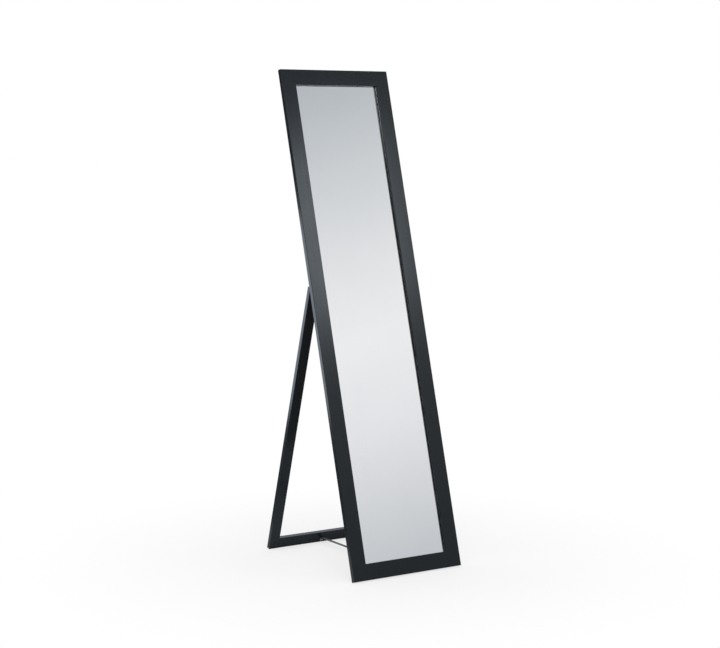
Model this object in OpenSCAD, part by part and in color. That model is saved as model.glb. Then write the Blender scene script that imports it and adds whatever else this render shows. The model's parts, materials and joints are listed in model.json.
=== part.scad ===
// Freestanding full-length mirror: a mitred frame with its glass and backing board, leaning on a
// stand frame that hinges from its back, held open by a flat two-link folding stay near the floor.
// The mirror faces -Y, X runs across it and Z points up. The floor is Z = 0.

/* [Mirror frame] */
// Width of the mirror frame over its outer edges
frame_w = 400; // [340:5:600]
// Height of the mirror frame, measured along its slope
frame_h = 1600; // [1400:10:1900]
// Width of the frame profile, seen from the front
profile_w = 50; // [44:1:70]
// Depth of the frame profile, from its front face to its back face
profile_d = 15; // [14.5:0.5:24]
// Depth of the lip, from the front face down to the glass
lip_d = 7; // [3:0.5:7.5]
// How far the lip covers the edge of the rebate
lip_cover = 8; // [5:0.5:12]
// Radius of the frame's front edges
edge_r = 1.2; // [0.4:0.1:2.5]
// Lean of the mirror from the upright, in degrees
mirror_lean = 15.7; // [10:0.1:20]

/* [Glass and backing] */
// Thickness of the glass
glass_t = 3; // [2:0.5:3.5]
// Clearance at each side of the glass and the board in the rebate; twice that above them
glass_gap = 1; // [0.5:0.1:2]
// Thickness of the backing board
board_t = 3; // [2:0.5:3.5]
// Length of a glazing point
point_l = 18; // [14:1:24]
// Width of a glazing point
point_w = 8; // [5:1:12]
// Thickness of a glazing point
point_t = 0.5; // [0.3:0.1:0.8]
// Depth to which a glazing point is driven into the frame
point_bite = 7; // [4:0.5:9]
// Greatest distance between glazing points along the frame
point_pitch = 260; // [150:10:400]

/* [Mitre joints] */
// Length of each leg of a corner nail
nail_leg = 7; // [5:0.5:9]
// Thickness of a corner nail
nail_t = 0.6; // [0.4:0.1:1]
// Depth of a corner nail
nail_d = 10; // [6:0.5:12]

/* [Stand] */
// Lean of the stand from the upright, in degrees
stand_lean = 16; // [10:0.1:20]
// Height of the stand's hinges, measured along the mirror's back
hinge_h = 909; // [800:5:1000]
// Width of the stand's posts and rails
post_w = 35; // [30:1:44]
// Thickness of the stand's posts and rails
post_t = 15; // [13:0.5:22]
// Radius of the stand's long edges
post_r = 1.2; // [0.4:0.1:2.5]
// Drop of the stand's top end below the hinge pins
top_drop = 3; // [2:0.5:6]
// Diameter of a corner dowel
dowel_d = 6; // [4:0.5:8]
// Length of a corner dowel
dowel_l = 36; // [20:2:48]

/* [Hinges] */
// Length of a hinge along its pin
hinge_l = 25; // [20:1:30]
// Height of a hinge leaf below its pin
leaf_h = 24; // [20:1:32]
// Thickness of a hinge leaf
leaf_t = 1.2; // [0.8:0.1:1.8]
// Diameter of a hinge pin
pin_d = 2.4; // [2:0.1:3.5]
// Spacing of the two screws across a hinge leaf
hinge_screw_pitch = 13; // [10:0.5:15]

/* [Screws] */
// Shank diameter of a hinge screw
screw_d = 2.8; // [2:0.1:3.2]
// Head diameter of a hinge screw
head_d = 5.4; // [4.6:0.1:6.4]
// Length of a hinge screw
screw_l = 11; // [7:0.5:13]
// Shank diameter of a stay screw
stay_screw_d = 2; // [1.6:0.1:2.6]
// Head diameter of a stay screw
stay_head_d = 3.8; // [3.2:0.1:4.4]
// Length of a stay screw
stay_screw_l = 9; // [6:0.5:12]

/* [Folding stay] */
// Width of each stay link
stay_w = 12; // [10:0.5:18]
// Thickness of each stay link
stay_t = 1.5; // [1:0.1:2.5]
// Diameter of the stay's pins
stay_pin_d = 2.4; // [1.8:0.1:3.2]
// Height of the stay's rear pin above the foot of the stand, along the stand
stay_rear_h = 14.5; // [12:0.5:22]
// Height of the stay's front pin above the foot of the mirror, along its back
stay_front_h = 13; // [12:0.5:22]
// Height of a stay bracket below its pin
bracket_h = 11.5; // [9.5:0.5:12]
// Thickness of a stay bracket
bracket_t = 1.5; // [1:0.1:2]
// Room between a stay eye and the face behind it
stay_standoff = 0.6; // [0.4:0.1:1.5]

/* [Hidden] */

// Round shapes
$fn = 48;

// How far a cut runs past the face that it opens
over = 1;
// Radial clearance of a pin in its bore, and of a fastener in its hole
fit = 0.05;
// Gap between a moving knuckle or link and what it passes
run_gap = 0.3;

// Rebate for the glass and the board
rebate_d = profile_d - lip_d;
opening_w = frame_w - 2 * profile_w;
opening_h = frame_h - 2 * profile_w;
pane_w = opening_w + 2 * (lip_cover - glass_gap);
pane_h = opening_h + 2 * (lip_cover - glass_gap);
glass_y = -rebate_d;
board_y = glass_y + glass_t;
point_y = board_y + board_t;

// Corner nails stand on the mitre line, one nearer each end of it
nail_shares = [0.3, 0.62];

// Hinge knuckles
knuckle_r = pin_d / 2 + fit + leaf_t;
knuckle_count = 3;
knuckle_l = (hinge_l - (knuckle_count - 1) * run_gap) / knuckle_count;
knuckle_step = knuckle_l + run_gap;
// The posts and the hinges stand behind the middles of the stiles
hinge_x = frame_w / 2 - profile_w / 2;
face_y = knuckle_r + run_gap;
hinge_screw_share = 0.8;
hinge_screw_z = -leaf_h * hinge_screw_share;

// Cross recess of a screw, as shares of its head diameter
recess_length_share = 0.55;
recess_width_share = 0.14;
recess_depth_share = 0.16;

// Place of the hinge pins on the mirror, and of the whole part about its middle
pin_y = face_y * cos(mirror_lean) + hinge_h * sin(mirror_lean);
pin_z = hinge_h * cos(mirror_lean) - face_y * sin(mirror_lean);
stand_len = (pin_z + face_y * sin(stand_lean)) / cos(stand_lean);
front_y = edge_r * sin(mirror_lean) - (profile_d - edge_r) * cos(mirror_lean) - edge_r;
stand_rear_y = pin_y + stand_len * sin(stand_lean) + (face_y + post_t) * cos(stand_lean);
mirror_rear_y = frame_h * sin(mirror_lean);
rear_y = max(stand_rear_y, mirror_rear_y);
middle_y = (front_y + rear_y) / 2;

// Folding stay: eyes, brackets and the lie of its links
eye_r = stay_pin_d / 2 + fit + stay_t;
eye_y = eye_r + stay_standoff;
ear_l = (stay_w - 2 * run_gap) / 3;
link_x = (stay_w + run_gap) / 2;
rear_pin_y = pin_y + (face_y - eye_y) * cos(stand_lean) + (stand_len - stay_rear_h) * sin(stand_lean);
rear_pin_z = pin_z + (face_y - eye_y) * sin(stand_lean) - (stand_len - stay_rear_h) * cos(stand_lean);
front_pin_y = eye_y * cos(mirror_lean) + stay_front_h * sin(mirror_lean);
front_pin_z = stay_front_h * cos(mirror_lean) - eye_y * sin(mirror_lean);
stay_tilt = atan2(rear_pin_z - front_pin_z, rear_pin_y - front_pin_y);
stay_len = norm([rear_pin_y - front_pin_y, rear_pin_z - front_pin_z]);
fold_drift = (hinge_h - stand_len + stay_rear_h) - stay_front_h;
link_front_l = (stay_len + fold_drift) / 2;
link_rear_l = (stay_len - fold_drift) / 2;
bracket_screw_z = -(eye_r + bracket_h) / 2;
bracket_screw_x = stay_w / 4;
rivet_head_share = 0.8;
rivet_head_r = eye_r * rivet_head_share;
rivet_head_t = stay_t * rivet_head_share;

// Stop lug of the stay
lug_length_share = 3;
lug_w = stay_w / 2;
lug_l = eye_r * lug_length_share;
lug_root = stay_t / 2;

// Puts children from the mirror's own axes into the part's: Y behind its back face, Z up its slope
module on_mirror() {
  translate([0, -middle_y, 0])
    rotate([-mirror_lean, 0, 0])
      children();
}

// Puts children from the stand's own axes into the part's: the hinge pins lie on its X axis
module on_stand() {
  translate([0, pin_y - middle_y, pin_z])
    rotate([stand_lean, 0, 0])
      children();
}

// Puts children on the hinge pins, square to the mirror
module on_pins() {
  on_mirror()
    translate([0, face_y, hinge_h])
      children();
}

// Rod along X, from x to x + l
module rod_x(x, l, r) {
  translate([x, 0, 0])
    rotate([0, 90, 0])
      cylinder(r = r, h = l);
}

// Rectangle with some corners rounded: x0, y0 its low corner, size its width and height
module rounded_rect(x0, y0, size, r, both_sides = true) {
  far = both_sides ? r : 0;
  translate([x0 + r, y0])
    square([size[0] - r - far, size[1]]);
  translate([x0, y0 + r])
    square([size[0], size[1] - 2 * r]);
  for (y = [y0 + r, y0 + size[1] - r]) {
    translate([x0 + r, y])
      circle(r = r);
    if (both_sides)
      translate([x0 + size[0] - r, y])
        circle(r = r);
  }
}

// Turns a section drawn in (Y, Z) into a bar along X, centred on x = 0
module bar_x(l) {
  rotate([90, 0, 90])
    translate([0, 0, -l / 2])
      linear_extrude(height = l)
        children();
}

// Section of the frame profile: the front face at Y = -profile_d, the outer edge at Z = 0
module profile_section() {
  difference() {
    rounded_rect(-profile_d, 0, [profile_d, profile_w], edge_r, both_sides = false);
    translate([-rebate_d, profile_w - lip_cover])
      square([rebate_d + over, lip_cover + over]);
  }
}

// One bar of the frame, mitred at both ends, with its outer edge on the X axis
module frame_bar(l) {
  intersection() {
    bar_x(l)
      profile_section();
    translate([0, over, 0])
      rotate([90, 0, 0])
        linear_extrude(height = profile_d + 2 * over)
          polygon([[-l / 2, 0], [l / 2, 0], [l / 2 - profile_w, profile_w], [profile_w - l / 2, profile_w]]);
  }
}

// Puts a frame bar's own axes on each side of the frame
module on_bottom() { children(); }
module on_top() {
  translate([0, 0, frame_h])
    rotate([0, 180, 0])
      children();
}
module on_left() {
  translate([-frame_w / 2, 0, frame_h / 2])
    rotate([0, 90, 0])
      children();
}
module on_right() {
  translate([frame_w / 2, 0, frame_h / 2])
    rotate([0, -90, 0])
      children();
}

// Evenly spaced places along a side of length l, at most point_pitch apart
function places(l) = let (n = max(1, ceil(l / point_pitch)))
  [for (i = [0 : n - 1]) l * ((i + 1 / 2) / n - 1 / 2)];

// Glazing points of one side, grown by g for their slots in the frame
module side_points(l, g = 0) {
  for (x = places(l))
    translate([x - point_w / 2 - g, point_y - g, profile_w - lip_cover - point_bite - g])
      cube([point_w + 2 * g, point_t + 2 * g, point_l + g]);
}

module all_points(g = 0) {
  on_bottom() side_points(opening_w, g);
  on_top() side_points(opening_w, g);
  on_left() side_points(opening_h, g);
  on_right() side_points(opening_h, g);
}

// A corner nail: two legs at a right angle that straddle the mitre line, driven in from the back
module corner_nail(g = 0) {
  for (turn = [0, 90])
    rotate([0, turn, 0])
      translate([-nail_t / 2 - g, -nail_d - g, -nail_t / 2 - g])
        cube([nail_t + 2 * g, nail_d + 2 * g, nail_leg + nail_t / 2 + 2 * g]);
}

module all_nails(g = 0) {
  for (sx = [-1, 1], sz = [-1, 1], share = nail_shares) {
    x = sx * (frame_w / 2 - share * profile_w);
    z = frame_h / 2 + sz * (frame_h / 2 - share * profile_w);
    translate([x, 0, z])
      rotate([0, sz > 0 ? (sx > 0 ? 0 : -90) : (sx > 0 ? 90 : 180), 0])
        corner_nail(g);
  }
}

// Countersunk wood screw along -Z, its flat head level with Z = 0
module screw(d, head, l) {
  cone_h = (head - d) / 2;
  recess_l = head * recess_length_share;
  recess_w = head * recess_width_share;
  recess_d = head * recess_depth_share;
  difference() {
    union() {
      translate([0, 0, -cone_h])
        cylinder(d1 = d, d2 = head, h = cone_h);
      translate([0, 0, d - l])
        cylinder(d = d, h = l - d - cone_h);
      translate([0, 0, -l])
        cylinder(d1 = 0, d2 = d, h = d);
    }
    for (turn = [0, 90])
      rotate([0, 0, turn])
        translate([-recess_l / 2, -recess_w / 2, -recess_d])
          cube([recess_l, recess_w, recess_d + over]);
  }
}

// The hole that such a screw fills, from its countersink down
module screw_hole(d, head, l) {
  cone_h = (head - d) / 2;
  translate([0, 0, -cone_h])
    cylinder(d1 = d + 2 * fit, d2 = head + 2 * fit, h = cone_h);
  cylinder(d = head + 2 * fit, h = over);
  translate([0, 0, -l - fit])
    cylinder(d = d + 2 * fit, h = l + fit);
}

// Places of a hinge leaf's screws, from the pin; the screws run along +Y
module at_hinge_screws() {
  for (x = [-hinge_screw_pitch / 2, hinge_screw_pitch / 2])
    translate([x, 0, hinge_screw_z])
      rotate([90, 0, 0])
        children();
}

// Leaf that lies on the face at Y = face_y, with the knuckles named in own
module hinge_leaf(own) {
  others = [for (k = [0 : knuckle_count - 1]) if (len(search(k, own)) == 0) k];
  difference() {
    union() {
      translate([-hinge_l / 2, face_y - leaf_t, -leaf_h])
        cube([hinge_l, leaf_t, leaf_h]);
      for (k = own)
        rod_x(k * knuckle_step - hinge_l / 2, knuckle_l, knuckle_r);
    }
    for (k = others)
      rod_x(k * knuckle_step - hinge_l / 2 - run_gap, knuckle_l + 2 * run_gap, knuckle_r + run_gap);
    rod_x(-hinge_l / 2 - over, hinge_l + 2 * over, pin_d / 2 + fit);
    translate([0, face_y - leaf_t, 0])
      at_hinge_screws()
        screw_hole(screw_d, head_d, screw_l);
  }
}

module hinge_screws() {
  translate([0, face_y - leaf_t, 0])
    at_hinge_screws()
      screw(screw_d, head_d, screw_l);
}

module hinge_screw_holes() {
  translate([0, face_y - leaf_t, 0])
    at_hinge_screws()
      screw_hole(screw_d, head_d, screw_l);
}

// Turns a stand leaf or its screws to face the mirror's back, which lies on the pin's other side
module facing_mirror() {
  rotate([0, 0, 180])
    children();
}

module hinge_pin() {
  rod_x(-hinge_l / 2, hinge_l, pin_d / 2);
}

// Section of a stand bar, in (Y, Z) with its low edge at Z = 0 and its front face at Y = face_y
module stand_section() {
  rounded_rect(face_y, 0, [post_t, post_w], post_r);
}

// Height of each stand rail's low edge in the stand's own axes
rail_z = [-stand_len, -top_drop - post_w];
rail_l = 2 * hinge_x - post_w;
dowel_shares = [0.2, 0.8];

// Corner dowels, grown by g for their holes
module all_dowels(g = 0) {
  for (z = rail_z, share = dowel_shares, side = [-1, 1])
    translate([side * rail_l / 2, face_y + post_t / 2, z + share * post_w])
      rod_x(-dowel_l / 2 - g, dowel_l + 2 * g, dowel_d / 2 + g);
}

module stand_post(side) {
  difference() {
    translate([side * hinge_x + post_w / 2, 0, -stand_len])
      rotate([0, 0, 90])
        linear_extrude(height = stand_len - top_drop)
          rounded_rect(face_y, 0, [post_t, post_w], post_r);
    all_dowels(fit);
    translate([side * hinge_x, 0, 0])
      hinge_screw_holes();
  }
}

module stand_rail(z) {
  difference() {
    translate([0, 0, z])
      bar_x(rail_l)
        stand_section();
    all_dowels(fit);
  }
}

// Stay bracket on the face at Y = 0, its pin at Y = eye_y, leaf downwards, in its own axes
module at_bracket_screws() {
  for (x = [-bracket_screw_x, bracket_screw_x])
    translate([x, bracket_t, bracket_screw_z])
      rotate([-90, 0, 0])
        children();
}

module stay_bracket() {
  difference() {
    union() {
      translate([-stay_w / 2, 0, -bracket_h])
        cube([stay_w, bracket_t, bracket_h]);
      translate([0, eye_y, 0])
        for (x = [-stay_w / 2, stay_w / 2 - ear_l])
          rod_x(x, ear_l, eye_r);
    }
    translate([0, eye_y, 0]) {
      rod_x(-ear_l / 2 - run_gap, ear_l + 2 * run_gap, eye_r + run_gap);
      rod_x(-stay_w / 2 - over, stay_w + 2 * over, stay_pin_d / 2 + fit);
    }
    at_bracket_screws()
      screw_hole(stay_screw_d, stay_head_d, stay_screw_l);
  }
}

module stay_screws() {
  at_bracket_screws()
    screw(stay_screw_d, stay_head_d, stay_screw_l);
}

module stay_screw_holes() {
  at_bracket_screws()
    screw_hole(stay_screw_d, stay_head_d, stay_screw_l);
}

module stay_pin() {
  translate([0, eye_y, 0])
    rod_x(-stay_w / 2, stay_w, stay_pin_d / 2);
}

// Puts children on the mirror's back face, at the front end of the stay
module at_front_bracket() {
  on_mirror()
    translate([-link_x, 0, stay_front_h])
      children();
}

// Puts children on the front face of the stand's bottom rail, at the rear end of the stay
module at_rear_bracket() {
  on_stand()
    translate([link_x, face_y, stay_rear_h - stand_len])
      rotate([0, 0, 180])
        children();
}

// Stay link: flat strap with an eye rolled under each end, from its bracket pin along +Y to the knee
module stay_link(l) {
  difference() {
    union() {
      translate([-stay_w / 2, 0, eye_r - stay_t])
        cube([stay_w, l, stay_t]);
      rod_x(-ear_l / 2, ear_l, eye_r);
      translate([0, l, 0])
        rod_x(-stay_w / 2, stay_w, eye_r);
    }
    for (x = [-stay_w / 2 - over, ear_l / 2])
      rod_x(x, stay_w / 2 - ear_l / 2 + over, eye_r + run_gap);
    for (y = [0, l])
      translate([0, y, 0])
        rod_x(-stay_w / 2 - over, stay_w + 2 * over, stay_pin_d / 2 + fit);
  }
}

// Stop lug of the rear link: it reaches across the knee and lies over the front link's strap, so
// that the straight stay can't sag
module stop_lug(l) {
  translate([-stay_w / 2, l - lug_l, eye_r - lug_root])
    cube([stay_w / 2, lug_l, lug_root + 2 * fit + stay_t]);
  translate([-stay_w / 2 - run_gap - lug_w, l - lug_l, eye_r + 2 * fit])
    cube([lug_w + run_gap + stay_w / 2, 2 * lug_l, stay_t]);
}

// Half of the knee pin, from the face between the links outwards, with its head
module knee_pin(side) {
  rod_x(side > 0 ? -stay_w / 2 : -stay_w / 2 - run_gap, stay_w + run_gap, stay_pin_d / 2);
  rod_x(side > 0 ? stay_w / 2 + run_gap : -stay_w / 2 - run_gap - rivet_head_t, rivet_head_t, rivet_head_r);
}

// Puts children on the front pin, with +Y along the stay towards the stand
module on_front_link() {
  translate([-link_x, front_pin_y - middle_y, front_pin_z])
    rotate([stay_tilt, 0, 0])
      children();
}

// Puts children on the rear pin, with +Y along the stay towards the mirror, as the rear link lies
module on_rear_link() {
  translate([link_x, rear_pin_y - middle_y, rear_pin_z])
    rotate([stay_tilt, 0, 0])
      mirror([0, 1, 0])
        children();
}

module stile_cuts() {
  all_points(fit);
  all_nails(fit);
}

module stile_left() {
  color("#3c4145") on_mirror() difference() {
    on_left() frame_bar(frame_h);
    stile_cuts();
    translate([-hinge_x, face_y, hinge_h]) facing_mirror() hinge_screw_holes();
  }
}

module stile_right() {
  color("#3c4145") on_mirror() difference() {
    on_right() frame_bar(frame_h);
    stile_cuts();
    translate([hinge_x, face_y, hinge_h]) facing_mirror() hinge_screw_holes();
  }
}

module rail_top() {
  color("#3c4145") on_mirror() difference() {
    on_top() frame_bar(frame_w);
    stile_cuts();
  }
}

module rail_bottom() {
  color("#3c4145") difference() {
    on_mirror() difference() {
      on_bottom() frame_bar(frame_w);
      stile_cuts();
    }
    at_front_bracket() stay_screw_holes();
  }
}

// Sheet that stands on the floor of the rebate, its front face at y
module pane(y, t) {
  translate([-pane_w / 2, y, profile_w - lip_cover])
    cube([pane_w, t, pane_h]);
}

module mirror_glass() {
  color("#d8dde0") on_mirror() pane(glass_y, glass_t);
}

module backing_board() {
  color("#8a6a48") on_mirror() pane(board_y, board_t);
}

module glazing_points() {
  color("#a9adb0") on_mirror() all_points();
}

module corner_nails() {
  color("#a9adb0") on_mirror() all_nails();
}

module hinge_leaf_fixed_left() {
  color("#b9bcbe") on_pins() translate([-hinge_x, 0, 0]) facing_mirror() hinge_leaf([0, 2]);
}

module hinge_leaf_fixed_right() {
  color("#b9bcbe") on_pins() translate([hinge_x, 0, 0]) facing_mirror() hinge_leaf([0, 2]);
}

module hinge_screws_fixed() {
  color("#c4c6c8") for (side = [-1, 1])
    on_pins() translate([side * hinge_x, 0, 0]) facing_mirror() hinge_screws();
}

module hinge_pin_left() {
  color("#c4c6c8") on_stand() translate([-hinge_x, 0, 0]) hinge_pin();
}

module hinge_pin_right() {
  color("#c4c6c8") on_stand() translate([hinge_x, 0, 0]) hinge_pin();
}

module stand_post_left() {
  color("#33373b") on_stand() stand_post(-1);
}

module stand_post_right() {
  color("#33373b") on_stand() stand_post(1);
}

module stand_rail_top() {
  color("#33373b") on_stand() stand_rail(rail_z[1]);
}

module stand_rail_bottom() {
  color("#33373b") difference() {
    on_stand() stand_rail(rail_z[0]);
    at_rear_bracket() stay_screw_holes();
  }
}

module stand_dowels() {
  color("#c9a877") on_stand() all_dowels();
}

module hinge_leaf_swing_left() {
  color("#b9bcbe") on_stand() translate([-hinge_x, 0, 0]) hinge_leaf([1]);
}

module hinge_leaf_swing_right() {
  color("#b9bcbe") on_stand() translate([hinge_x, 0, 0]) hinge_leaf([1]);
}

module hinge_screws_swing() {
  color("#c4c6c8") on_stand() for (side = [-1, 1])
    translate([side * hinge_x, 0, 0]) hinge_screws();
}

module stay_bracket_front() {
  color("#6b7074") at_front_bracket() stay_bracket();
}

module stay_screws_front() {
  color("#c4c6c8") at_front_bracket() stay_screws();
}

module stay_pin_front() {
  color("#c4c6c8") at_front_bracket() stay_pin();
}

module stay_bracket_rear() {
  color("#6b7074") at_rear_bracket() stay_bracket();
}

module stay_screws_rear() {
  color("#c4c6c8") at_rear_bracket() stay_screws();
}

module stay_pin_rear() {
  color("#c4c6c8") at_rear_bracket() stay_pin();
}

module stay_link_front() {
  color("#6b7074") on_front_link() stay_link(link_front_l);
}

module knee_pin_front() {
  color("#c4c6c8") on_front_link() translate([0, link_front_l, 0]) knee_pin(-1);
}

module stay_link_rear() {
  color("#6b7074") on_rear_link() {
    stay_link(link_rear_l);
    stop_lug(link_rear_l);
  }
}

module knee_pin_rear() {
  color("#c4c6c8") on_rear_link() translate([0, link_rear_l, 0]) knee_pin(1);
}

stile_left();
stile_right();
rail_top();
rail_bottom();
mirror_glass();
backing_board();
glazing_points();
corner_nails();
hinge_leaf_fixed_left();
hinge_leaf_fixed_right();
hinge_screws_fixed();
hinge_pin_left();
hinge_pin_right();
stand_post_left();
stand_post_right();
stand_rail_top();
stand_rail_bottom();
stand_dowels();
hinge_leaf_swing_left();
hinge_leaf_swing_right();
hinge_screws_swing();
stay_bracket_front();
stay_screws_front();
stay_pin_front();
stay_bracket_rear();
stay_screws_rear();
stay_pin_rear();
stay_link_front();
knee_pin_front();
stay_link_rear();
knee_pin_rear();
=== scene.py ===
"""Looks of the standing mirror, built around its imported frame.

A tall lacquered frame holds a silvered pane and leans back on a stand frame.
The stand hinges from its back and is held open by a flat folding stay near
the floor. Lengths are in metres, and angles in degrees where a name says so.
"""

import json
import logging
import math
from dataclasses import dataclass
from enum import Enum
from itertools import product
from typing import Dict, List, Optional, Sequence, Tuple, Union

import bmesh
import bpy
from mathutils import Matrix, Vector

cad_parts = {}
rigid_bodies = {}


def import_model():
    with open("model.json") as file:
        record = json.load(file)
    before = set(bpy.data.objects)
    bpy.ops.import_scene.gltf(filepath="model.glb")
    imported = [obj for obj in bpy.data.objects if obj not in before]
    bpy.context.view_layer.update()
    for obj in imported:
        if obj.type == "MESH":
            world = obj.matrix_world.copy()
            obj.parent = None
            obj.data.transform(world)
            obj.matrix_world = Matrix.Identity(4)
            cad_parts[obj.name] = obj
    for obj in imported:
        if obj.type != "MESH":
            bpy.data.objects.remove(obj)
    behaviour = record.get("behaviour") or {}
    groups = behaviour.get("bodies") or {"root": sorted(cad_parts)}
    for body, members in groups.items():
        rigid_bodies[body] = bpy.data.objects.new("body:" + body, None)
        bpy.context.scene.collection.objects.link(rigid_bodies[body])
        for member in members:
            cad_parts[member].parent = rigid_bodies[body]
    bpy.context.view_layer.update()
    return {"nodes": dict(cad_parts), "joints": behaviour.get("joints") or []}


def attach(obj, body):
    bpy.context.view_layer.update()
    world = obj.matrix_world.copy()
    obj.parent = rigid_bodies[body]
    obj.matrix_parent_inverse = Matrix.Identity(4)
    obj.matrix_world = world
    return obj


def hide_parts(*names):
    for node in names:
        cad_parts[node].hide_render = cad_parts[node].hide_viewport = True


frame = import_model()

MM = 0.001
GRAIN_LAYER = "grain"
RIM_LAYER = "rim"
BEVEL_PROFILE = 0.5
NO_MATERIAL = -1
ROUND_STEPS = 40
SHARP_DEG = 50.0
RIM_SHARE = 0.9
CLOSE = 1e-6

Colour = Tuple[float, float, float]
Spot = Tuple[float, float, float]
Point = Tuple[float, float]
Span = Tuple[float, float]
Mesh = bmesh.types.BMesh
Vert = bmesh.types.BMVert
Edge = bmesh.types.BMEdge
Face = bmesh.types.BMFace
Element = Union[Vert, Edge, Face]

log = logging.getLogger("standing_mirror")


class Body(Enum):
    """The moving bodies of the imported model."""

    MIRROR = "mirror_frame"
    STAND = "stand"
    STAY_FRONT = "stay_front"
    STAY_REAR = "stay_rear"


class Slot(Enum):
    """The record's material slots, which the stocks name."""

    FRAME_LACQUER = "frame_lacquer"
    STAND_LACQUER = "stand_lacquer"
    GLASS = "silvered_glass"
    SPRING = "spring_steel"
    HINGE = "hinge_steel"
    STAY = "stay_steel"
    BRIGHT = "bright_steel"


# Shader building


class Wire:
    """A shader value that takes part in Python expressions."""

    def __init__(self, recipe: "Recipe", socket: bpy.types.NodeSocket) -> None:
        """Wraps an output socket of the recipe's tree."""
        self.recipe = recipe
        self.socket = socket

    def _join(self, operation: str, first: "Value", second: "Value") -> "Wire":
        """Adds a Math node.

        Args:
            operation: The Math node's operation.
            first: Its first value.
            second: Its second value.

        Returns:
            The node's result.
        """
        return self.recipe.node("ShaderNodeMath", {"operation": operation}, {0: first, 1: second})

    def __add__(self, other: "Value") -> "Wire":
        """self + other."""
        return self._join("ADD", self, other)

    def __radd__(self, other: "Value") -> "Wire":
        """other + self."""
        return self._join("ADD", other, self)

    def __sub__(self, other: "Value") -> "Wire":
        """self - other."""
        return self._join("SUBTRACT", self, other)

    def __rsub__(self, other: "Value") -> "Wire":
        """other - self."""
        return self._join("SUBTRACT", other, self)

    def __mul__(self, other: "Value") -> "Wire":
        """self * other."""
        return self._join("MULTIPLY", self, other)

    def __rmul__(self, other: "Value") -> "Wire":
        """other * self."""
        return self._join("MULTIPLY", other, self)

    def at_least(self, other: "Value") -> "Wire":
        """The larger of the two values."""
        return self._join("MAXIMUM", self, other)

    def rise(self, low: float, high: float) -> "Wire":
        """Runs smoothly from 0 at low to 1 at high.

        Args:
            low: The value that gives 0.
            high: The value that gives 1.

        Returns:
            The smooth step, held between 0 and 1.
        """
        return self.recipe.node(
            "ShaderNodeMapRange",
            {"interpolation_type": "SMOOTHSTEP", "clamp": True},
            {"Value": self, "From Min": low, "From Max": high},
        )


Value = Union[Wire, float]


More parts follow.
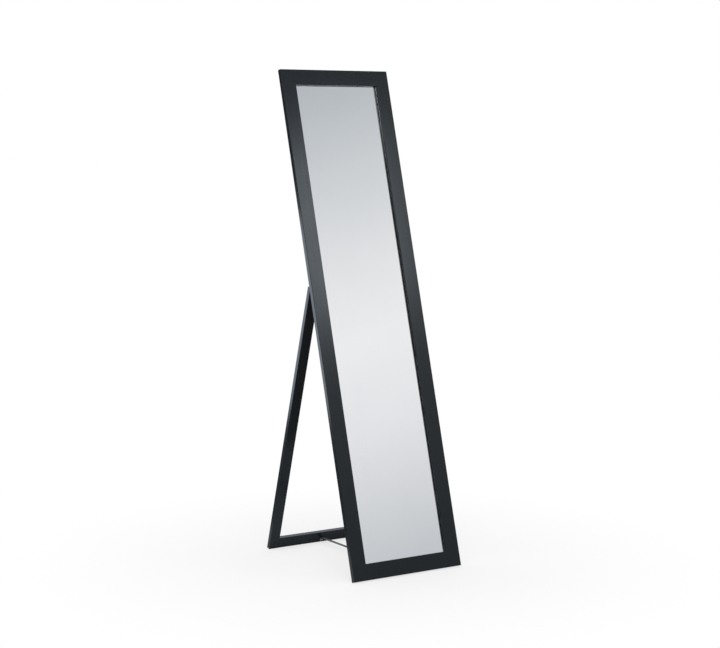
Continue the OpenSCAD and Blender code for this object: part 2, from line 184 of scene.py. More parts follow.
class Recipe:
    """Builds the nodes of one material or world."""

    def __init__(self, tree: bpy.types.NodeTree) -> None:
        """Empties the tree that the nodes go into."""
        self.tree = tree
        tree.nodes.clear()

    def node(
        self,
        kind: str,
        settings: Optional[Dict[str, object]] = None,
        sockets: Optional[Dict[Union[int, str], object]] = None,
        output: Union[int, str] = 0,
    ) -> Wire:
        """Adds a node.

        Args:
            kind: The node's type.
            settings: Its properties, set before its sockets. "stops" holds a
                ramp's positions and colours.
            sockets: Values or wires, by socket name or number.
            output: The output that the result stands for.

        Returns:
            The chosen output.
        """
        made = self.tree.nodes.new(kind)
        for name, value in (settings or {}).items():
            if name == "stops":
                self._set_stops(made.color_ramp, value)
            else:
                setattr(made, name, value)
        for name, value in (sockets or {}).items():
            if isinstance(value, Wire):
                self.tree.links.new(value.socket, made.inputs[name])
            else:
                made.inputs[name].default_value = value
        return Wire(self, made.outputs[output] if made.outputs else None)

    @staticmethod
    def _set_stops(ramp: bpy.types.ColorRamp, stops: Sequence[Tuple[float, Colour]]) -> None:
        """Gives a ramp its stops.

        Args:
            ramp: The ramp.
            stops: Positions from 0 to 1 with their colours.
        """
        while len(ramp.elements) < len(stops):
            ramp.elements.new(1.0)
        for element, (position, colour) in zip(ramp.elements, stops):
            element.position = position
            element.color = (*colour, 1.0)

    def place(self) -> Wire:
        """The object's own coordinates, in metres."""
        return self.node("ShaderNodeTexCoord", {}, {}, "Object")

    def layer(self, name: str, output: str) -> Wire:
        """What the mesh stores under a name, as a vector or a factor."""
        return self.node("ShaderNodeAttribute", {"attribute_name": name}, {}, output)

    def axes(self, vector: Wire) -> Tuple[Wire, Wire, Wire]:
        """Splits a vector.

        Args:
            vector: The vector.

        Returns:
            Its X, Y and Z.
        """
        first = self.node("ShaderNodeSeparateXYZ", {}, {"Vector": vector})
        split = first.socket.node
        return first, Wire(self, split.outputs[1]), Wire(self, split.outputs[2])

    def vector_math(self, operation: str, vector: Wire, output: str) -> Wire:
        """Adds a Vector Math node.

        Args:
            operation: The node's operation.
            vector: The vector that it works on.
            output: The output that holds the result.

        Returns:
            The result.
        """
        return self.node("ShaderNodeVectorMath", {"operation": operation}, {0: vector}, output)

    def stretched(self, vector: Wire, scale: Spot, turn: Spot = (0.0, 0.0, 0.0)) -> Wire:
        """Turns and scales a pattern's coordinates.

        Args:
            vector: The coordinates.
            scale: The factor along each axis.
            turn: The turn about each axis, in radians.

        Returns:
            The new coordinates.
        """
        return self.node(
            "ShaderNodeMapping",
            {"vector_type": "POINT"},
            {"Vector": vector, "Rotation": turn, "Scale": scale},
        )

    def noise(
        self, vector: Wire, scale: float = 1.0, detail: float = 3.0, rough: float = 0.5
    ) -> Wire:
        """Adds fractal noise.

        Args:
            vector: The coordinates in metres, or stretched ones.
            scale: How many blobs there are in a unit of the coordinates.
            detail: The number of finer layers.
            rough: How strong the finer layers are.

        Returns:
            A value about 0.5.
        """
        return self.node(
            "ShaderNodeTexNoise",
            {"noise_dimensions": "3D"},
            {"Vector": vector, "Scale": scale, "Detail": detail, "Roughness": rough},
        )

    def cells(self, vector: Wire, scale: float) -> Wire:
        """Gives each cell of a mosaic its own value.

        Args:
            vector: The coordinates in metres.
            scale: How many cells there are in a metre.

        Returns:
            A value from 0 to 1.
        """
        colour = self.node(
            "ShaderNodeTexVoronoi", {"feature": "F1"}, {"Vector": vector, "Scale": scale}, "Color"
        )
        return self.axes(colour)[0]

    def mix(self, share: Value, first: object, second: object) -> Wire:
        """Mixes two colours.

        Args:
            share: How much of the second colour there is.
            first: A colour or a wire.
            second: A colour or a wire.

        Returns:
            The mixed colour.
        """
        sides = [c if isinstance(c, Wire) else (*c, 1.0) for c in (first, second)]
        # The Mix node takes its colours at inputs 6 and 7 and gives one at output 2
        sockets = {0: share, 6: sides[0], 7: sides[1]}
        return self.node("ShaderNodeMix", {"data_type": "RGBA"}, sockets, 2)

    def bump(
        self, height: Wire, depth: float, strength: float, under: Optional[Wire] = None
    ) -> Wire:
        """Tilts the surface by a height pattern.

        Args:
            height: The pattern.
            depth: The depth in metres of a height of 1.
            strength: How much of it shows.
            under: The normal of a coarser bump below this one.

        Returns:
            The new normal.
        """
        sockets = {"Height": height, "Distance": depth, "Strength": strength}
        if under is not None:
            sockets["Normal"] = under
        return self.node("ShaderNodeBump", {}, sockets)

    def surface(self, **sockets: object) -> None:
        """Ends a material with its Principled shader.

        Args:
            **sockets: Values or wires by socket name, with _ for a space.
        """
        named = {name.replace("_", " "): value for name, value in sockets.items()}
        shader = self.node("ShaderNodeBsdfPrincipled", {}, named)
        self.node("ShaderNodeOutputMaterial", {}, {"Surface": shader})

    def glow(self, colour: Colour) -> Wire:
        """A surface that shows its colour in any light."""
        return self.node("ShaderNodeEmission", {}, {"Color": (*colour, 1.0), "Strength": 1.0})

    def cover(self, share: Wire, under: Wire, over: Wire) -> Wire:
        """Lays one shader over another, by its share."""
        return self.node("ShaderNodeMixShader", {}, {0: share, 1: under, 2: over})

    def rays(self) -> Tuple[Wire, Wire]:
        """Tells the camera's own rays from reflected and refracted ones.

        Returns:
            1 for the camera's rays, and 1 for glossy and transmission rays.
        """
        seen = self.node("ShaderNodeLightPath", {}, {}, "Is Camera Ray")
        outputs = seen.socket.node.outputs
        glossy = Wire(self, outputs["Is Glossy Ray"])
        return seen, glossy.at_least(Wire(self, outputs["Is Transmission Ray"]))


# Finishes


@dataclass(frozen=True)
class Finish:
    """A material by name. Each kind of finish lays its own nodes."""

    name: str

    def lay(self, recipe: Recipe) -> None:
        """Builds the finish's nodes in the recipe."""
        raise NotImplementedError

    def material(self) -> bpy.types.Material:
        """Makes the material once.

        Returns:
            The material.
        """
        found = bpy.data.materials.get(self.name)
        if found is not None:
            return found
        made = bpy.data.materials.new(self.name)
        made.use_nodes = True
        self.lay(Recipe(made.node_tree))
        return made


@dataclass(frozen=True)
class Lacquer(Finish):
    """Sprayed half-gloss lacquer on fine-grained wood."""

    deep: Colour = (0.0038, 0.0058, 0.0080)
    pale: Colour = (0.0069, 0.0090, 0.0115)
    rubbed: Colour = (0.034, 0.037, 0.040)
    sheen_level: float = 0.29
    sheen_tint: Colour = (0.92, 0.975, 1.0)
    rough: float = 0.17
    cloud_rough: float = 0.05
    rub_rough: float = 0.1
    grain_rough: float = 0.03
    cloud_share: float = 0.7
    rub_share: float = 0.55
    dust_share: float = 0.05
    peel_depth: float = 0.012 * MM
    grain_depth: float = 0.02 * MM

    def lay(self, recipe: Recipe) -> None:
        """Builds the lacquer's nodes.

        Args:
            recipe: The recipe of its material.
        """
        along = recipe.layer(GRAIN_LAYER, "Vector")
        rim = recipe.layer(RIM_LAYER, "Fac")
        fibres = recipe.stretched(along, (5.0, 160.0, 160.0))
        grain = recipe.noise(fibres, detail=4.0, rough=0.55)
        clouds = recipe.noise(along, scale=7.0)
        peel = recipe.noise(along, scale=420.0, detail=1.0)
        dust = recipe.noise(along, scale=1500.0, detail=0.0).rise(low=0.68, high=0.76)
        wear = recipe.noise(along, scale=55.0, detail=4.0, rough=0.65)
        rubs = wear.rise(low=0.46, high=0.68) * rim
        blend = clouds * self.cloud_share + grain * (1.0 - self.cloud_share)
        tone = recipe.mix(blend, self.deep, self.pale)
        worn = rubs * self.rub_share + dust * self.dust_share
        rough = self.rough + (clouds - 0.5) * self.cloud_rough + rubs * self.rub_rough
        low = recipe.bump(grain, self.grain_depth, strength=0.5)
        recipe.surface(
            Base_Color=recipe.mix(worn, tone, self.rubbed),
            Roughness=rough + (grain - 0.5) * self.grain_rough,
            Specular_IOR_Level=self.sheen_level,
            Specular_Tint=(*self.sheen_tint, 1.0),
            Normal=recipe.bump(peel, self.peel_depth, strength=0.35, under=low),
        )


@dataclass(frozen=True)
class ClearGlass(Finish):
    """The clear front of the pane, with faint traces of wiping."""

    clean: Colour = (0.985, 0.992, 0.988)
    wiped: Colour = (0.972, 0.98, 0.977)
    wipe_rough: float = 0.006
    index: float = 1.5

    def lay(self, recipe: Recipe) -> None:
        """Builds the glass's nodes.

        Args:
            recipe: The recipe of its material.
        """
        strokes = recipe.stretched(recipe.place(), (30.0, 4.0, 4.0), turn=(0.0, 0.5, 0.0))
        wipes = recipe.noise(strokes).rise(low=0.52, high=0.8)
        recipe.surface(
            Base_Color=recipe.mix(wipes, self.clean, self.wiped),
            Roughness=wipes * self.wipe_rough,
            IOR=self.index,
            Transmission_Weight=1.0,
        )


@dataclass(frozen=True)
class Silver(Finish):
    """The silver on the back of the glass, seen from its front."""

    bright: Colour = (0.915, 0.907, 0.917)
    dull: Colour = (0.901, 0.893, 0.904)
    rough: float = 0.008
    haze_rough: float = 0.006

    def lay(self, recipe: Recipe) -> None:
        """Builds the silver's nodes.

        Args:
            recipe: The recipe of its material.
        """
        haze = recipe.noise(recipe.place(), scale=4.0, detail=2.0).rise(low=0.35, high=0.75)
        recipe.surface(
            Base_Color=recipe.mix(haze, self.bright, self.dull),
            Roughness=self.rough + haze * self.haze_rough,
            Metallic=1.0,
        )


@dataclass(frozen=True)
class GroundEdge(Finish):
    """The ground edge of the pane, green with the depth of the glass."""

    deep: Colour = (0.10, 0.22, 0.18)
    pale: Colour = (0.20, 0.34, 0.29)
    rough: float = 0.38
    grit_rough: float = 0.2
    grit_depth: float = 0.01 * MM

    def lay(self, recipe: Recipe) -> None:
        """Builds the edge's nodes.

        Args:
            recipe: The recipe of its material.
        """
        place = recipe.place()
        grit = recipe.noise(place, scale=2500.0, detail=1.0)
        drift = recipe.noise(place, scale=12.0, detail=2.0)
        recipe.surface(
            Base_Color=recipe.mix(drift, self.deep, self.pale),
            Roughness=self.rough + grit * self.grit_rough,
            Normal=recipe.bump(grit, self.grit_depth, strength=0.4),
        )


@dataclass(frozen=True)
class BackPaint(Finish):
    """The grey paint over the silver on the pane's back."""

    deep: Colour = (0.16, 0.17, 0.175)
    pale: Colour = (0.22, 0.23, 0.235)
    rough: float = 0.5
    grit_rough: float = 0.15
    grit_depth: float = 0.02 * MM

    def lay(self, recipe: Recipe) -> None:
        """Builds the paint's nodes.

        Args:
            recipe: The recipe of its material.
        """
        place = recipe.place()
        flow = recipe.noise(recipe.stretched(place, (8.0, 8.0, 1.5)))
        grit = recipe.noise(place, scale=900.0, detail=2.0)
        recipe.surface(
            Base_Color=recipe.mix(flow, self.deep, self.pale),
            Roughness=self.rough + grit * self.grit_rough,
            Normal=recipe.bump(grit, self.grit_depth, strength=0.5),
        )


@dataclass(frozen=True)
class Hardboard(Finish):
    """Pressed fibre board, mottled brown, with a faint mesh of fibres."""

    dark: Colour = (0.13, 0.072, 0.036)
    light: Colour = (0.27, 0.165, 0.09)
    shive: Colour = (0.07, 0.035, 0.018)
    cloud_share: float = 0.6
    shive_share: float = 0.35
    rough: float = 0.62
    fibre_rough: float = 0.2
    fibre_depth: float = 0.08 * MM

    def lay(self, recipe: Recipe) -> None:
        """Builds the board's nodes.

        Args:
            recipe: The recipe of its material.
        """
        place = recipe.place()
        clouds = recipe.noise(place, scale=14.0, detail=4.0, rough=0.6)
        specks = recipe.noise(place, scale=700.0, detail=2.0).rise(low=0.58, high=0.74)
        across, upward = (
            recipe.noise(recipe.stretched(place, scale), detail=2.0)
            for scale in ((900.0, 300.0, 120.0), (120.0, 300.0, 900.0))
        )
        fibre = across.at_least(upward)
        blend = clouds * self.cloud_share + fibre * (1.0 - self.cloud_share)
        tone = recipe.mix(blend, self.dark, self.light)
        recipe.surface(
            Base_Color=recipe.mix(specks * self.shive_share, tone, self.shive),
            Roughness=self.rough + fibre * self.fibre_rough,
            Normal=recipe.bump(fibre, self.fibre_depth, strength=0.6),
        )


@dataclass(frozen=True)
class Steel(Finish):
    """Sheet or wire steel, plated or coated."""

    dark: Colour = (0.42, 0.43, 0.43)
    light: Colour = (0.58, 0.585, 0.58)
    metal: float = 1.0
    rough: float = 0.32
    crystals: float = 700.0
    sheen_level: float = 0.5
    flake_share: float = 0.4
    rub_share: float = 0.35
    rub_gain: float = 1.3
    cloud_rough: float = 0.16
    rub_smooth: float = 0.06
    scratch_depth: float = 0.006 * MM

    def lay(self, recipe: Recipe) -> None:
        """Builds the steel's nodes.

        Args:
            recipe: The recipe of its material.
        """
        place = recipe.place()
        flake = recipe.cells(place, self.crystals)
        clouds = recipe.noise(place, scale=90.0)
        lines = recipe.noise(recipe.stretched(place, (250.0, 9000.0, 9000.0)), detail=2.0)
        rub = recipe.noise(place, scale=320.0, detail=4.0, rough=0.7).rise(low=0.58, high=0.74)
        blend = flake * self.flake_share + clouds * (1.0 - self.flake_share)
        tone = recipe.mix(blend, self.dark, self.light)
        bright = tuple(min(1.0, self.rub_gain * c) for c in self.light)
        recipe.surface(
            Base_Color=recipe.mix(rub * self.rub_share, tone, bright),
            Roughness=self.rough + (clouds - 0.5) * self.cloud_rough - rub * self.rub_smooth,
            Metallic=self.metal,
            Specular_IOR_Level=self.sheen_level,
            Normal=recipe.bump(lines, self.scratch_depth, strength=0.5),
        )


@dataclass(frozen=True)
class Beech(Finish):
    """Turned beech dowel, pale with short flecks along its length."""

    dark: Colour = (0.46, 0.30, 0.17)
    light: Colour = (0.66, 0.47, 0.30)
    fleck: Colour = (0.3, 0.17, 0.09)
    fleck_share: float = 0.5
    rough: float = 0.6
    grain_rough: float = 0.2
    grain_depth: float = 0.05 * MM

    def lay(self, recipe: Recipe) -> None:
        """Builds the wood's nodes.

        Args:
            recipe: The recipe of its material.
        """
        place = recipe.place()
        grain = recipe.noise(recipe.stretched(place, (30.0, 900.0, 900.0)), detail=4.0)
        short = recipe.noise(recipe.stretched(place, (300.0, 1800.0, 1800.0)), detail=1.0)
        flecks = short.rise(low=0.6, high=0.7) * self.fleck_share
        recipe.surface(
            Base_Color=recipe.mix(flecks, recipe.mix(grain, self.dark, self.light), self.fleck),
            Roughness=self.rough + grain * self.grain_rough,
            Normal=recipe.bump(grain, self.grain_depth, strength=0.6),
        )


@dataclass(frozen=True)
class Stock:
    """What new pieces are made of: their finishes, beside a slot of the record that is not given to
    them.
    """

    slot: Slot
    finishes: Tuple[Finish, ...]
    smooth_below_deg: float = 32.0


HARDBOARD = Hardboard("brown hardboard")
BEECH = Beech("beech dowels")
ZINC = Steel("zinc plated steel")
SPRING_STEEL = Steel(
    "spring steel", (0.30, 0.31, 0.32), (0.44, 0.45, 0.46), rough=0.28, crystals=1500.0
)
BRIGHT_STEEL = Steel(
    "bright steel pins and screws", (0.5, 0.505, 0.51), (0.66, 0.665, 0.67), rough=0.22
)
STAY_COAT = Steel(
    "grey coated steel of the stay",
    (0.056, 0.063, 0.069),
    (0.079, 0.087, 0.094),
    metal=0.0,
    rough=0.48,
    crystals=1200.0,
    sheen_level=0.3,
)
FRAME_LACQUER = Lacquer("black lacquer of the mirror frame")
# The stand's copy of the black lacquer has a base about twice as light as the frame's: real black
# lacquer plus painted light that lifts the stand's faces in shade
STAND_LACQUER = Lacquer(
    "black stand lacquer with painted light",
    deep=(0.0090, 0.0123, 0.0166),
    pale=(0.0129, 0.0168, 0.0220),
    sheen_level=0.24,
    sheen_tint=(0.87, 0.955, 1.0),
)
PANE_FINISHES = (
    ClearGlass("clear glass of the pane"),
    GroundEdge("ground edge of the pane"),
    Silver("silver of the pane"),
    BackPaint("grey paint behind the silver"),
)

FRAME_WOOD = Stock(Slot.FRAME_LACQUER, (FRAME_LACQUER,), smooth_below_deg=20.0)
STAND_WOOD = Stock(Slot.STAND_LACQUER, (STAND_LACQUER,), smooth_below_deg=20.0)
PANE = Stock(Slot.GLASS, PANE_FINISHES)
NAIL = Stock(Slot.SPRING, (SPRING_STEEL,))
HINGE_LEAF = Stock(Slot.HINGE, (ZINC,))
HINGE_PIN = Stock(Slot.HINGE, (BRIGHT_STEEL,))
STAY_STRIP = Stock(Slot.STAY, (STAY_COAT,))
STAY_PIN = Stock(Slot.BRIGHT, (BRIGHT_STEEL,))


# Mesh building


def turn_about(axis: str, degrees: float) -> Matrix:
    """A turn about an axis, as a 4 by 4 matrix."""
    return Matrix.Rotation(math.radians(degrees), 4, axis)


def everything(bm: Mesh) -> List[Element]:
    """All the points, edges and faces of a mesh."""
    return bm.verts[:] + bm.edges[:] + bm.faces[:]


def only(kind: type, elements: Sequence[Element]) -> List[Element]:
    """The elements of one kind among those that an operator returns."""
    return [e for e in elements if isinstance(e, kind)]


def edges_at(bm: Mesh, axis: int, at: float) -> List[Edge]:
    """The edges that lie wholly at one place along an axis."""
    return [e for e in bm.edges if all(abs(v.co[axis] - at) < CLOSE for v in e.verts)]


def is_sharp(edge: Edge) -> bool:
    """Whether two faces meet in a corner at an edge."""
    return edge.is_manifold and edge.calc_face_angle(0.0) > math.radians(SHARP_DEG)


def edges_along(bm: Mesh, corners: Sequence[Point]) -> List[Edge]:
    """Finds a bar's long edges.

    Args:
        bm: The bar, lying along X.
        corners: The (Y, Z) places of the wanted edges.

    Returns:
        The edges that run along X there.
    """
    found = []
    for edge, (y, z) in product(bm.edges, corners):
        if all(abs(v.co.y - y) < CLOSE and abs(v.co.z - z) < CLOSE for v in edge.verts):
            found.append(edge)
    return found


def add_box(bm: Mesh, middle: Sequence[float], size: Sequence[float]) -> List[Vert]:
    """Adds a box to a mesh.

    Args:
        bm: The mesh.
        middle: The box's middle.
        size: Its length along each axis.

    Returns:
        Its corners.
    """
    made = bmesh.ops.create_cube(bm, size=1.0)["verts"]
    bmesh.ops.scale(bm, vec=size, verts=made)
    bmesh.ops.translate(bm, vec=middle, verts=made)
    return made


def round_over(bm: Mesh, edges: Sequence[Edge], radius: float, segments: int) -> None:
    """Rounds edges.

    Args:
        bm: The mesh.
        edges: Its edges to round.
        radius: The radius.
        segments: The facets across the rounding.
    """
    bmesh.ops.bevel(
        bm,
        geom=list(edges),
        offset=radius,
        offset_type="OFFSET",
        affect="EDGES",
        segments=segments,
        profile=BEVEL_PROFILE,
        material=NO_MATERIAL,
        clamp_overlap=True,
    )


def merge(bm: Mesh) -> None:
    """Joins doubled points and turns the faces outwards."""
    bmesh.ops.remove_doubles(bm, verts=bm.verts, dist=CLOSE)
    bmesh.ops.recalc_face_normals(bm, faces=bm.faces)


def sweep_section(section: Sequence[Point], length: float) -> Mesh:
    """Makes a bar from its section.

    Args:
        section: The section's corners in (Y, Z), in order.
        length: The bar's length.

    Returns:
        A closed bar along X, centred on X = 0.
    """
    bm = bmesh.new()
    start = bm.faces.new([bm.verts.new((-length / 2, y, z)) for y, z in section])
    swept = bmesh.ops.extrude_face_region(bm, geom=[start], use_keep_orig=True)
    bmesh.ops.translate(bm, vec=(length, 0.0, 0.0), verts=only(Vert, swept["geom"]))
    bmesh.ops.recalc_face_normals(bm, faces=bm.faces)
    return bm


def cut_off(bm: Mesh, point: Vector, outward: Vector) -> None:
    """Saws a piece through and closes the cut.

    Args:
        bm: The mesh.
        point: A point of the cut's plane.
        outward: The side that falls away.
    """
    cut = bmesh.ops.bisect_plane(
        bm,
        geom=everything(bm),
        dist=CLOSE / 10,
        plane_co=point,
        plane_no=outward,
        clear_outer=True,
    )
    bmesh.ops.edgeloop_fill(bm, edges=only(Edge, cut["geom_cut"]))


def turned(profile: Sequence[Point]) -> Mesh:
    """Turns a profile about the X axis.

    Args:
        profile: Its points as (X, radius), from one end to the other.

    Returns:
        The closed mesh.
    """
    bm = bmesh.new()
    verts = [bm.verts.new((x, r, 0.0)) for x, r in profile]
    edges = [bm.edges.new(pair) for pair in zip(verts, verts[1:])]
    bmesh.ops.spin(
        bm,
        geom=verts + edges,
        cent=(0.0, 0.0, 0.0),
        axis=(1.0, 0.0, 0.0),
        angle=math.tau,
        steps=ROUND_STEPS,
        use_merge=True,
        use_duplicate=False,
    )
    merge(bm)
    return bm


def turned_pin(length: float, radius: float) -> Mesh:
    """Turns a pin, its ends chamfered by a fifth of its radius.

    Args:
        length: Its length along X, centred on X = 0.
        radius: Its radius.

    Returns:
        The closed mesh.
    """
    end, ease = length / 2, radius / 5
    half = [(end - ease, radius), (end, radius - ease), (end, 0.0)]
    return turned([(-x, r) for x, r in reversed(half)] + half)


def mark_grain(bm: Mesh, shift: float) -> None:
    """Stores where each point lies along its bar, for the lacquer.

    Args:
        bm: The bar, in its own axes.
        shift: Moves the pattern along, so that no two bars match.
    """
    layer = bm.verts.layers.float_vector.new(GRAIN_LAYER)
    for vert in bm.verts:
        vert[layer] = vert.co + Vector((shift, 0.0, 0.0))


def mark_rims(bm: Mesh, corners: Sequence[Point], radius: float) -> None:
    """Marks the rounded edges, where lacquer wears.

    Args:
        bm: The bar, in its own axes.
        corners: The (Y, Z) places of its sharp corners before rounding.
        radius: The rounding's radius.
    """
    layer = bm.verts.layers.float.new(RIM_LAYER)
    reach = RIM_SHARE * radius
    for vert in bm.verts:
        on_rim = any(
            abs(vert.co.y - y) < reach and abs(vert.co.z - z) < reach for y, z in corners
        )
        vert[layer] = 1.0 if on_rim else 0.0


# Pieces and their places


def add_object(name: str, data: bpy.types.ID) -> bpy.types.Object:
    """Adds an object at the origin.

    Args:
        name: Its name.
        data: Its mesh, lamp or camera.

    Returns:
        The object.
    """
    made = bpy.data.objects.new(name, data)
    bpy.context.scene.collection.objects.link(made)
    return made


def joint_point(name: str) -> Vector:
    """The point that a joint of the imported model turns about."""
    return next(Vector(j["pos_m"]) for j in frame["joints"] if j["name"] == name)


@dataclass
class Piece:
    """One finished piece: its mesh, its place and the node it stands for."""

    name: str
    bm: Mesh
    place: Matrix
    body: Body
    stock: Stock
    node: str

    def make(self) -> None:
        """Turns the mesh into an object at the origin, on its body."""
        self.bm.transform(self.place)
        mesh = bpy.data.meshes.new(self.name)
        self.bm.to_mesh(mesh)
        self.bm.free()
        for finish in self.stock.finishes:
            mesh.materials.append(finish.material())
        mesh.shade_smooth()
        mesh.set_sharp_from_angle(angle=math.radians(self.stock.smooth_below_deg))
        made = add_object(self.name, mesh)
        made.modifiers.new("even shading", "WEIGHTED_NORMAL").keep_sharp = True
        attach(made, self.body.value)
        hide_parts(self.node)
        log.info("%s: %d faces on %s", self.name, len(mesh.polygons), self.body.value)


def dress(node: str, finish: Finish) -> None:
    """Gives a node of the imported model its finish.

    Args:
        node: The node's name.
        finish: The finish.
    """
    mesh = frame["nodes"][node].data
    mesh.materials.clear()
    mesh.materials.append(finish.material())
    log.info("%s: carried over, %s", node, finish.name)


# The mirror and its stand


@dataclass
class MirrorFrame:
    """The mitred frame with its pane, board and fastenings."""

    width: float = 0.4
    height: float = 1.6
    profile_w: float = 50 * MM
    profile_d: float = 15 * MM
    lip_d: float = 7 * MM
    lip_cover: float = 8 * MM
    edge_r: float = 1.2 * MM
    back_r: float = 0.5 * MM
    grain_step: float = 3.0
    lean_deg: float = 15.7
    hinge_h: float = 0.909
    hinge_standoff: float = 2.75 * MM
    glass_t: float = 3 * MM
    glass_gap: float = 1 * MM
    paint_t: float = 0.05 * MM
    hair: float = 0.01 * MM
    arris: float = 0.35 * MM
    square_on: float = 0.99
    nail_leg: float = 7 * MM
    nail_t: float = 0.6 * MM
    nail_d: float = 10 * MM
    nail_stand: float = 0.06 * MM
    nail_shares: Tuple[float, float] = (0.3, 0.62)

    def place(self) -> Matrix:
        """Finds the mirror's own axes, from its hinge pins.

        Returns:
            Y behind the frame's back, Z up its slope from its foot.
        """
        turn = turn_about("X", -self.lean_deg)
        reach = turn @ Vector((0.0, self.hinge_standoff, self.hinge_h))
        return Matrix.Translation(joint_point("stand_fold") - reach) @ turn

    def section(self) -> List[Point]:
        """Draws the profile: front face at -profile_d, outer edge at Z = 0.

        Returns:
            The section's corners in (Y, Z).
        """
        floor = self.lip_d - self.profile_d
        wall = self.profile_w - self.lip_cover
        return [
            (-self.profile_d, 0.0),
            (0.0, 0.0),
            (0.0, wall),
            (floor, wall),
            (floor, self.profile_w),
            (-self.profile_d, self.profile_w),
        ]

    def bar(self, length: float, shift: float) -> Mesh:
        """Makes one bar with rounded edges and mitred ends.

        Args:
            length: Its length over its outer edge.
            shift: Moves its grain along.

        Returns:
            The bar, its outer edge on the X axis.
        """
        section = self.section()
        outer, back, mouth, _, lip_back, lip = section
        front = [outer, lip]
        bm = sweep_section(section, length)
        round_over(bm, edges_along(bm, front), self.edge_r, segments=6)
        round_over(bm, edges_along(bm, [back]), self.back_r, segments=3)
        round_over(bm, edges_along(bm, [mouth, lip_back]), self.back_r / 2, segments=2)
        for side in (-1.0, 1.0):
            end = Vector((side * length / 2, 0.0, 0.0))
            cut_off(bm, end, Vector((side, 0.0, 1.0)).normalized())
        mark_grain(bm, shift)
        mark_rims(bm, front, self.edge_r)
        return bm

    def build_bars(self) -> None:
        """Makes the four bars of the frame."""
        middle = self.height / 2
        bars = (
            ("rail_bottom", self.width, 0.0, (0.0, 0.0, 0.0)),
            ("rail_top", self.width, 180.0, (0.0, 0.0, self.height)),
            ("stile_left", self.height, 90.0, (-self.width / 2, 0.0, middle)),
            ("stile_right", self.height, -90.0, (self.width / 2, 0.0, middle)),
        )
        for count, (node, length, degrees, corner) in enumerate(bars):
            bm = self.bar(length, self.grain_step * count)
            place = self.place() @ (Matrix.Translation(corner) @ turn_about("Y", degrees))
            Piece(f"lacquered_{node}", bm, place, Body.MIRROR, FRAME_WOOD, node).make()

    def build_pane(self) -> None:
        """Makes the pane: clear glass, silver on its back and paint behind."""
        inner = 2 * (self.lip_cover - self.glass_gap) - 2 * self.profile_w
        wide, tall = self.width + inner, self.height + inner
        front = self.lip_d - self.profile_d + self.hair
        rear = self.lip_d - self.profile_d + self.glass_t
        silver = rear - self.paint_t - self.hair
        height = self.profile_w - self.lip_cover + tall / 2
        bm = bmesh.new()
        add_box(bm, (0.0, (front + silver) / 2, height), (wide, silver - front, tall))
        round_over(bm, bm.edges[:], self.arris, segments=1)
        paint = silver + self.hair
        add_box(bm, (0.0, (paint + rear) / 2, height), (wide, rear - paint, tall))
        clear, edge, back, painted = range(len(PANE_FINISHES))
        for face in bm.faces:
            if face.calc_center_median().y > silver + self.hair / 2:
                face.material_index = painted
            elif abs(face.normal.y) < self.square_on:
                face.material_index = edge
            else:
                face.material_index = clear if face.normal.y < 0.0 else back
        Piece("silvered_pane", bm, self.place(), Body.MIRROR, PANE, "mirror_glass").make()

    def build_nails(self) -> None:
        """Makes the corner nails: two legs at a right angle, nearly flush."""
        bm = bmesh.new()
        deep = self.nail_d + self.nail_stand
        for side, end, share in product((-1, 1), (-1, 1), self.nail_shares):
            inset = share * self.profile_w
            up = self.height / 2 + end * (self.height / 2 - inset)
            corner = Vector((side * (self.width / 2 - inset), self.nail_stand - deep / 2, up))
            for leg in (Vector((side, 0.0, 0.0)), Vector((0.0, 0.0, end))):
                reach = Vector([abs(c) for c in leg]) * self.nail_leg
                size = Vector((self.nail_t, deep, self.nail_t)) + reach
                add_box(bm, corner + leg * self.nail_leg / 2, size)
        round_over(bm, bm.edges[:], self.nail_t / 6, segments=2)
        Piece("mitre_nails", bm, self.place(), Body.MIRROR, NAIL, "corner_nails").make()

    def build(self) -> None:
        """Makes the frame's pieces and dresses what the model keeps."""
        self.build_bars()
        self.build_pane()
        self.build_nails()
        dress("backing_board", HARDBOARD)
        dress("glazing_points", SPRING_STEEL)


